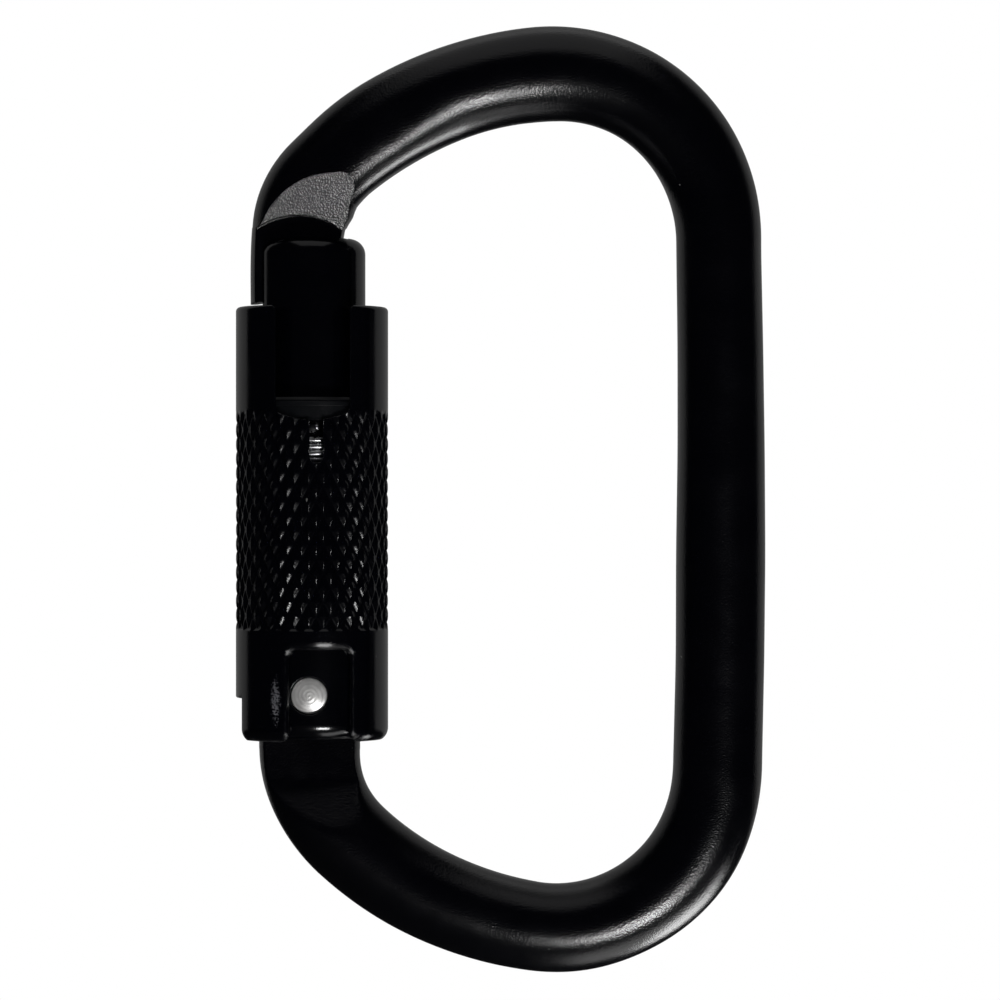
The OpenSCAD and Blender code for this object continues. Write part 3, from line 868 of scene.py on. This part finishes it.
GROOVE_LOW = LIP_LOW - 0.05
GROOVE_HIGH = LIP_HIGH + 0.05
inside = [
    (BORE + 0.1, TOP), (BORE, TOP - 0.1), (BORE, GROOVE_HIGH), (GROOVE, GROOVE_HIGH),
    (GROOVE, GROOVE_LOW), (BORE, GROOVE_LOW), (BORE, 20), (BORE, 5), (BORE, FOOT + 0.12),
]
profile = np.array(outside + inside)
turn = np.linspace(0, 2 * math.pi, columns, endpoint=False)
phi, row_z = np.meshgrid(turn, profile[:, 1])
radius = np.repeat(profile[:, :1], columns, axis=1)
# Two families of rounded grooves cross and leave small diamonds, and run out at both ends.
around = KNURL_STARTS * phi / (2 * math.pi)
along = (row_z - KNURL_LOW) / KNURL_RISE
rising, falling = around + along, around - along
to_groove = np.minimum(np.abs(rising - np.round(rising)), np.abs(falling - np.round(falling)))
grooved = KNURL_DEPTH * (0.5 + 0.5 * np.cos(math.pi * np.clip(to_groove / GROOVE_HALF, 0, 1)))
fade = eased(row_z, KNURL_LOW - 0.05, KNURL_LOW + 0.35)
fade = fade * (1 - eased(row_z, KNURL_HIGH - 0.9, KNURL_HIGH + 0.05))
is_outside = (np.arange(len(profile)) < len(outside))[:, None]
depth = np.where(is_outside, grooved * fade, 0)
radius = radius - depth
points = np.stack([radius * np.cos(phi), radius * np.sin(phi), row_z], 2).reshape(-1, 3)
# Each square is split along its deeper diagonal, so that the grooves stay clean.
faces = []
rows = len(profile)
for j in range(rows):
    for i in range(columns):
        row, next_row, next_i = j * columns, (j + 1) % rows * columns, (i + 1) % columns
        a, b, c, d = row + i, row + next_i, next_row + next_i, next_row + i
        low_ac = depth.flat[a] + depth.flat[c]
        low_bd = depth.flat[b] + depth.flat[d]
        if low_ac == low_bd == 0:
            faces.append((a, b, c, d))
        elif low_ac > low_bd:
            faces += [(a, b, c), (a, c, d)]
        else:
            faces += [(a, b, d), (b, c, d)]
knurled_sleeve = new_mesh("knurled_sleeve", points, faces)


def grown(outline, amount):
    """A closed outline moved outwards, or inwards with a negative amount."""
    outline = np.asarray(outline, float)
    before, after = np.roll(outline, 1, 0), np.roll(outline, -1, 0)
    first = outline - before
    second = after - outline
    first /= np.linalg.norm(first, axis=1)[:, None]
    second /= np.linalg.norm(second, axis=1)[:, None]
    normal = np.stack([first[:, 1] + second[:, 1], -first[:, 0] - second[:, 0]], 1)
    normal /= np.linalg.norm(normal, axis=1)[:, None]
    spread = np.clip((normal * np.stack([first[:, 1], -first[:, 0]], 1)).sum(1), 0.5, 1)
    return outline + amount * normal / spread[:, None]


def on_front(outline, r):
    """An outline in the front view, laid onto the front of a cylinder."""
    x, z = outline[:, 0], outline[:, 1]
    return np.stack([x, -np.sqrt(r ** 2 - x ** 2), z], 1)


def milled(name, outline, chamfer):
    """A cutter through the front of the sleeve that also breaks the outer edge with a chamfer."""
    outline = stepped(outline + outline[:1], 0.4)[:-1]
    flare = chamfer + 0.3
    steps = [(BORE - 1.2, 0), (OUTER - chamfer, 0), (OUTER + 0.3, flare), (OUTER + 5, flare)]
    return tube(name, [on_front(grown(outline, amount), r) for r, amount in steps])


SLOT = (-3.78, 4.56)
SLOT_MIDDLE = (SLOT[0] + SLOT[1]) / 2
SLOT_ARC = 9.2
SLOT_SIDE_LOW = TOP - 11.4
SLOT_SIDE_HIGH = TOP - 6
CORNER = 0.7
arc_half = math.degrees(math.asin((SLOT[1] - SLOT[0]) / 2 / SLOT_ARC))
slot_outline = (
    arc((SLOT_MIDDLE, TOP - 3.8), SLOT_ARC, 270 - arc_half + 2, 270 + arc_half - 2, 16)
    + [(SLOT[1], SLOT_SIDE_LOW), (SLOT[1], SLOT_SIDE_HIGH)]
    + arc((SLOT[1] + CORNER, TOP - CORNER), CORNER, 180, 90, 6)
    + [(SLOT[1] + CORNER, TOP + 2), (SLOT[0] - CORNER, TOP + 2)]
    + arc((SLOT[0] - CORNER, TOP - CORNER), CORNER, 90, 0, 6)
    + [(SLOT[0], SLOT_SIDE_HIGH), (SLOT[0], SLOT_SIDE_LOW)]
)
SLIT = (0.1, 1.6)
SLIT_Z = TOP - 17.15
SLIT_TOP = TOP - 12.7
slit_half = (SLIT[1] - SLIT[0]) / 2
slit_outline = arc((sum(SLIT) / 2, SLIT_Z), slit_half, 180, 360, 12)
slit_outline += [(SLIT[1], SLIT_TOP), (SLIT[0], SLIT_TOP)]
WINDOW = (-2.24, 4.56)
WINDOW_TOP = 5.2
ROUND = 0.9
PRONG = 1.1
window_outline = (
    [(WINDOW[0] - PRONG, FOOT - 2), (WINDOW[1] + PRONG, FOOT - 2)]
    + arc((WINDOW[1] + PRONG, FOOT + PRONG), PRONG, 270, 180, 8)
    + arc((WINDOW[1] - ROUND, WINDOW_TOP - ROUND), ROUND, 0, 90, 8)
    + arc((WINDOW[0] + ROUND, WINDOW_TOP - ROUND), ROUND, 90, 180, 8)
    + arc((WINDOW[0] - PRONG, FOOT + PRONG), PRONG, 0, -90, 8)
)
# The foot is relieved round its back and its outer side, between these two angles.
RELIEF = (38, 206)
RELIEF_TOP = -0.45
relief_section = [
    (BORE - 1.2, FOOT - 2), (OUTER + 1, FOOT - 2), (OUTER + 1, RELIEF_TOP + 1.1),
    (OUTER - 0.1, RELIEF_TOP), (BORE - 1.2, RELIEF_TOP),
]
relief_rings = [
    np.array([(r * math.cos(a), r * math.sin(a), z) for r, z in relief_section])
    for a in np.radians(np.linspace(RELIEF[0], RELIEF[1], 97))
]
cut(
    knurled_sleeve,
    tube("relief", relief_rings),
    milled("window", window_outline, chamfer=0.4),
    milled("slit", slit_outline, chamfer=0.1),
    milled("slot", slot_outline, chamfer=0.12),
)
SLEEVE_BLACK = (0.0005, 0.0006, 0.0015, 1)
sleeve_black = black_coat(
    "sleeve_black", SLEEVE_BLACK, BARE_STEEL, roughness=0.15, grain=4200.0, bump=0.000003, wear_radius=0.0001
)
tree = sleeve_black.node_tree
sleeve_shader = tree.nodes["Principled BSDF"]
# The plain foot has rounder edges than the knurl.
where = node(tree, "ShaderNodeTexCoord").outputs["Object"]
height_in_frame = node(tree, "ShaderNodeSeparateXYZ", {0: where}).outputs["Z"]
FOOT_TOP = 6
foot_top = RIVET.z + FOOT_TOP * MM
round_foot = node(tree, "ShaderNodeMapRange",
                  {0: height_in_frame, 1: foot_top, 2: foot_top + MM, 3: 0.0008, 4: 0.0001})
worn_edges = next(n for n in tree.nodes if n.type == "GROUP" and n.node_tree == edge_wear)
tree.links.new(round_foot.outputs[0], worn_edges.inputs["Radius"])

# A pale speckled upright band beside the window, on the front of the sleeve only.
pale_band, given, result = effect(
    "pale_band", {"Middle X": 0.0, "Middle Z": 0.0, "Half Width": 0.0005, "Half Height": 0.003},
    {"Mask": "NodeSocketFloat"},
)
where = node(pale_band, "ShaderNodeTexCoord").outputs["Object"]
local = node(pale_band, "ShaderNodeSeparateXYZ", {0: where})
falloff = []
for axis, middle_name, half_name in (("X", "Middle X", "Half Width"), ("Z", "Middle Z", "Half Height")):
    offset = math_node(pale_band, "SUBTRACT", local.outputs[axis], given[middle_name])
    away = math_node(pale_band, "ABSOLUTE", offset)
    share_out = math_node(pale_band, "DIVIDE", away, given[half_name])
    falloff.append(math_node(pale_band, "SUBTRACT", 1.0, share_out, clamp=True))
band_mask = math_node(pale_band, "POWER", math_node(pale_band, "MULTIPLY", *falloff), 0.5)
in_front = math_node(pale_band, "LESS_THAN", local.outputs["Y"], 0.0)
flecks = node(pale_band, "ShaderNodeTexNoise", {"Vector": where, "Scale": 5600.0, "Detail": 2.0})
front_band = math_node(pale_band, "MULTIPLY", band_mask, in_front)
cover = math_node(pale_band, "MULTIPLY", front_band, flecks.outputs[0])
speckled_band = node(pale_band, "ShaderNodeMapRange", {0: cover, 1: 0.36, 2: 0.46})
pale_band.links.new(speckled_band.outputs[0], result["Mask"])

BAND_X = -3.75
BAND_Z = -0.6
BAND_GREY = (0.1, 0.1, 0.11, 1)
# The band lays a paler grey, in specks, over the coat beside the window, on its front only.
banded = place(
    tree, pale_band, Middle_X=RIVET.x + BAND_X * MM, Middle_Z=RIVET.z + BAND_Z * MM,
    Half_Width=0.001, Half_Height=0.0046,
)
clean = sleeve_shader.inputs["Base Color"].links[0].from_socket
tone = mix_colour(tree, banded.outputs[0], clean, BAND_GREY)
tree.links.new(tone, sleeve_shader.inputs["Base Color"])
seat(knurled_sleeve, sleeve_black, 28)
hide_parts("locking_sleeve")
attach(knurled_sleeve, "sleeve")


# Sleeve spring. Close-wound steel wire round the gate, under the sleeve. Its upper end turns out
# into a short leg that sits in the sleeve's slit and turns the sleeve back.
SLEEVE_WIRE = 0.34
COIL = (SHOULDER + BORE) / 2 - 0.05
PITCH = 0.77
LEG_RISE = 0.65
LEG = 276
LEG_SWEEP = 20
LEG_REACH = 0.8
TIP = 0.25
FOOT_ROOM = 0.7
COIL_STEP = 7.5
coil_low, coil_high = box_mm("sleeve_spring")
coil_top = coil_high.z - SLEEVE_WIRE
turns = math.floor((coil_top - LEG_RISE - COLLAR_TOP - FOOT_ROOM) / PITCH)


def along_coil(behind):
    """Points on the coil, a number of degrees behind the root of its leg."""
    angle = np.radians(LEG - LEG_SWEEP - behind)
    height = coil_top - LEG_RISE - PITCH * behind / 360
    return np.stack([COIL * np.cos(angle), COIL * np.sin(angle), height], 1)


# The coil's last half turn moves with the leg. The quarter turn of room behind it closes as the
# sleeve turns, out of sight under the sleeve's wall.
END_PART = 180
UNWOUND = 96
coil_path = along_coil(np.arange(turns * 360, END_PART + UNWOUND, -COIL_STEP))
return_spring = coiled_wire("return_spring", coil_path, SLEEVE_WIRE)
along_leg = np.linspace(0, 1, 17)
sweep = np.radians(LEG - LEG_SWEEP * (1 - along_leg))
reach = COIL + LEG_REACH * along_leg ** 3
leg_height = coil_top - LEG_RISE * (1 - eased(along_leg, 0, 1))
leg_path = np.stack([reach * np.cos(sweep), reach * np.sin(sweep), leg_height], 1)
leg_path = np.concatenate([along_coil(np.arange(END_PART, 0, -COIL_STEP)), leg_path])
# The leg's end is rounded off.
end_angles = np.radians([0, 15, 30, 45, 60, 75, 86])
straight_out = np.array([math.cos(sweep[-1]), math.sin(sweep[-1]), 0])
tip = [leg_path[-1] + straight_out * (TIP + SLEEVE_WIRE * math.sin(a)) for a in end_angles]
leg_radius = np.concatenate([np.full(len(leg_path), SLEEVE_WIRE), SLEEVE_WIRE * np.cos(end_angles)])
spring_leg = coiled_wire("spring_leg", np.concatenate([leg_path, tip]), leg_radius)
for wire in (return_spring, spring_leg):
    seat(wire, spring_wire, 50)
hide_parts("sleeve_spring")
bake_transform(return_spring)
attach(spring_leg, "sleeve")


# Studio. A pale floor well below the hanging connector and a white sheet behind it. The soft
# lights are a key low in front, a kicker low on the right, a dim one below and one overhead, and
# a broad fill that doesn't show in reflections.
FLOOR_DROP = 0.34
SHEET_AWAY = 1.3
SPREAD = 3
MIRRORED_SHEET = 0.22


def quad(name, corners):
    """A flat four-cornered surface."""
    mesh = bpy.data.meshes.new(name)
    mesh.from_pydata(corners, [], [(0, 1, 2, 3)])
    piece = bpy.data.objects.new(name, mesh)
    bpy.context.scene.collection.objects.link(piece)
    return piece


floor_z = cad_low.z - FLOOR_DROP
floor = quad("floor", [(x, y, floor_z) for x, y in (
    (-SPREAD, -SPREAD), (SPREAD, -SPREAD), (SPREAD, SPREAD), (-SPREAD, SPREAD),
)])
floor_paint = bpy.data.materials.new("pale_floor")
floor_paint.use_nodes = True
tree = floor_paint.node_tree
floor_shader = tree.nodes["Principled BSDF"]
rays = node(tree, "ShaderNodeLightPath").outputs
# The floor is pale when seen directly and by diffuse light. Where the connector mirrors it, it is near
# black: painted shade in its reflections.
pale_with_painted_dark_reflection = mix_colour(tree, rays["Is Glossy Ray"], (0.78, 0.78, 0.78, 1), (0.04, 0.04, 0.04, 1))
tree.links.new(pale_with_painted_dark_reflection, floor_shader.inputs["Base Color"])
floor_shader.inputs["Roughness"].default_value = 0.9
floor_shader.inputs["Emission Color"].default_value = (0.75, 0.75, 0.75, 1)
tree.links.new(rays["Is Camera Ray"], floor_shader.inputs["Emission Strength"])
floor.data.materials.append(floor_paint)

sheet = quad("white_sheet", [(x, SHEET_AWAY, z) for x, z in (
    (-SPREAD, floor_z), (SPREAD, floor_z), (SPREAD, SPREAD), (-SPREAD, SPREAD),
)])
sheet_paint = bpy.data.materials.new("white_sheet")
sheet_paint.use_nodes = True
tree = sheet_paint.node_tree
tree.nodes.clear()
rays = node(tree, "ShaderNodeLightPath").outputs
mirrored = node(tree, "ShaderNodeEmission", {"Color": (1, 1, 1, 1), "Strength": MIRRORED_SHEET})
glow = node(tree, "ShaderNodeEmission", {"Color": (1, 1, 1, 1), "Strength": 1.0})
matte = node(tree, "ShaderNodeBsdfDiffuse", {"Color": (0.8, 0.8, 0.8, 1)})
unseen = node(tree, "ShaderNodeMixShader",
              {0: rays["Is Glossy Ray"], 1: matte.outputs[0], 2: mirrored.outputs[0]})
direct = math_node(tree, "MAXIMUM", rays["Is Camera Ray"], rays["Is Transmission Ray"])
both = node(tree, "ShaderNodeMixShader", {0: direct, 1: unseen.outputs[0], 2: glow.outputs[0]})
node(tree, "ShaderNodeOutputMaterial", {"Surface": both.outputs[0]})
sheet.data.materials.append(sheet_paint)

world = bpy.data.worlds.new("studio")
bpy.context.scene.world = world
world.use_nodes = True
tree = world.node_tree
tree.nodes.clear()
camera_sees = node(tree, "ShaderNodeLightPath").outputs["Is Camera Ray"]
room = node(tree, "ShaderNodeBackground", {"Color": (0.006, 0.006, 0.008, 1), "Strength": 1.0})
white = node(tree, "ShaderNodeBackground", {"Color": (1, 1, 1, 1), "Strength": 1.0})
both = node(tree, "ShaderNodeMixShader", {0: camera_sees, 1: room.outputs[0], 2: white.outputs[0]})
node(tree, "ShaderNodeOutputWorld", {"Surface": both.outputs[0]})


def softbox(name, azimuth, elevation, distance, width, height, brightness):
    """A soft light that faces the connector and doesn't show itself to the camera."""
    lamp = bpy.data.lights.new(name, "AREA")
    lamp.shape = "RECTANGLE"
    lamp.size, lamp.size_y = width, height
    lamp.energy = brightness * math.pi * width * height
    holder = bpy.data.objects.new(name, lamp)
    turn, rise = math.radians(azimuth), math.radians(elevation)
    towards = Vector((math.sin(turn) * math.cos(rise), -math.cos(turn) * math.cos(rise), math.sin(rise)))
    holder.location = middle + towards * distance
    holder.rotation_euler = towards.to_track_quat("Z", "Y").to_euler()
    holder.visible_camera = False
    bpy.context.scene.collection.objects.link(holder)
    return holder


softbox("key", azimuth=20, elevation=-37, distance=0.6, width=0.18, height=0.14, brightness=25.5)
softbox("kicker", azimuth=112, elevation=-51, distance=0.4, width=0.2, height=0.15, brightness=7.6)
softbox("below", azimuth=90, elevation=-68, distance=0.36, width=0.22, height=0.22, brightness=1.2)
softbox("overhead", azimuth=0, elevation=90, distance=0.9, width=0.84, height=1.4, brightness=0.28)
fill = softbox("fill", azimuth=-10, elevation=10, distance=1.2, width=1.4, height=1.4, brightness=1.1)
fill.visible_glossy = False

bpy.context.scene.view_settings.view_transform = "Standard"
